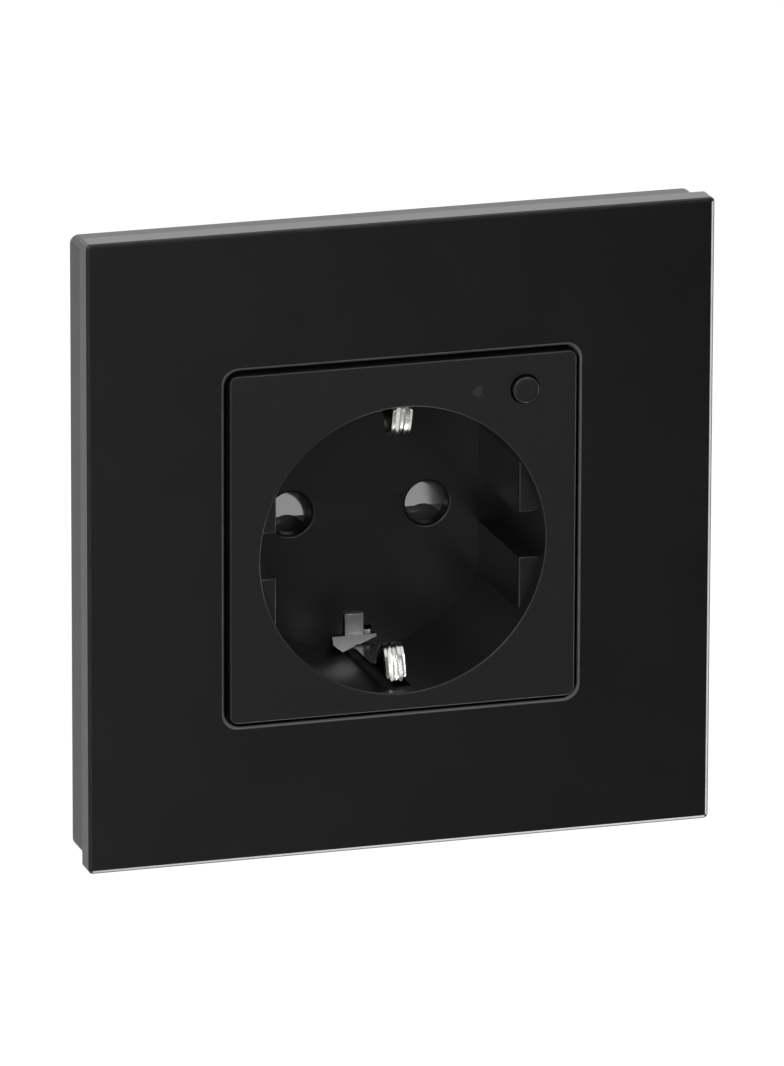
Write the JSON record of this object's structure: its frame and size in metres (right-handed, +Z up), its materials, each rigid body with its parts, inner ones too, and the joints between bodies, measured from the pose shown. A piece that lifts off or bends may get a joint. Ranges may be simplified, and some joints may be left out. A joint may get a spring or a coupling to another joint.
{
  "type": "flush smart wall socket",
  "caption": "Flush smart wall socket with square glass front, round earthed two-pin recess, push button, status light and drum for a wall box.",
  "frame": {"origin": "on the finished wall, in the middle of the line through the two box screws", "axes": "+X to the right seen from the room, +Y into the wall, +Z up; the glass faces -Y"},
  "size_m": [0.086, 0.0512, 0.086],
  "materials": {
    "glass_black": "back-painted black glass, polished",
    "foam_tape": "matt foam",
    "frame_plastic": "black moulded, satin gloss",
    "zinc_steel": "zinc plated",
    "screw_steel": "zinc plated",
    "cover_plastic": "black moulded, satin gloss",
    "button_plastic": "black moulded, satin gloss",
    "switch_black": "matt",
    "switch_body": "matt",
    "smoke_clear": "smoked clear polycarbonate",
    "led_white": "clear over ceramic",
    "board_green": "solder mask",
    "header_brass": "gold flash pins",
    "shutter_grey": "grey moulded, gloss",
    "spring_steel": "drawn wire",
    "clip_nickel": "nickel plated",
    "contact_brass": "stamped brass",
    "holder_plastic": "off-white moulded",
    "drum_plastic": "dark grey moulded",
    "relay_black": "matt moulded case",
    "sleeve_black": "shrink sleeve",
    "film_yellow": "moulded box",
    "tape_yellow": "taped winding and ferrite",
    "fuse_ceramic": "ceramic",
    "epoxy_blue": "epoxy dip",
    "board_dark": "solder mask",
    "shield_tin": "tin plated",
    "chip_black": "matt epoxy",
    "block_plastic": "light grey moulded",
    "cage_brass": "nickel flashed brass"
  },
  "bodies": {
    "socket": {"glass_panel": "glass_black", "panel_tape": "foam_tape", "frame_carrier": "frame_plastic", "mounting_plate": "zinc_steel", "plate_screws": "screw_steel", "socket_cover": "cover_plastic", "tact_switch": "switch_body", "light_pipe": "smoke_clear", "status_led": "led_white", "front_board": "board_green", "board_header": "header_brass", "shutter_spring": "spring_steel", "earth_foot_top": "clip_nickel", "earth_foot_bottom": "clip_nickel", "earth_strap": "contact_brass", "contact_carrier": "holder_plastic", "carrier_screws": "screw_steel", "live_contact": "contact_brass", "neutral_contact": "contact_brass", "rear_housing": "drum_plastic", "main_board": "board_green", "relay": "relay_black", "smoothing_capacitor": "sleeve_black", "film_capacitor": "film_yellow", "transformer": "tape_yellow", "fuse": "fuse_ceramic", "varistor": "epoxy_blue", "wireless_module": "board_dark", "wireless_shield": "shield_tin", "metering_chip": "chip_black", "terminal_block": "block_plastic", "terminal_cage_live": "cage_brass", "terminal_cage_earth": "cage_brass", "terminal_cage_neutral": "cage_brass", "terminal_screws": "screw_steel"},
    "button": {"button_cap": "button_plastic", "tact_plunger": "switch_black"},
    "shutter": {"shutter": "shutter_grey"},
    "clip_top": {"earth_clip_top": "clip_nickel"},
    "clip_bottom": {"earth_clip_bottom": "clip_nickel"}
  },
  "joints": [
    {"name": "button_press", "type": "slide", "parent": "socket", "child": "button", "axis": [0, 1, 0], "range_m": [0, 0.0005], "stiffness_N_per_m": 3000, "springref_m": -0.0002},
    {"name": "shutter_slide", "type": "slide", "parent": "socket", "child": "shutter", "axis": [0, 0, -1], "range_m": [0, 0.0068], "stiffness_N_per_m": 150, "springref_m": -0.003, "deforming": ["shutter_spring"]},
    {"name": "clip_top_flex", "type": "hinge", "parent": "socket", "child": "clip_top", "pos_m": [0, 0.00925, 0.01705], "axis": [1, 0, 0], "range_deg": [-4, 0], "stiffness_Nm_per_rad": 1.5},
    {"name": "clip_bottom_flex", "type": "hinge", "parent": "socket", "child": "clip_bottom", "pos_m": [0, 0.00925, -0.02065], "axis": [1, 0, 0], "range_deg": [0, 4], "stiffness_Nm_per_rad": 1.5}
  ]
}
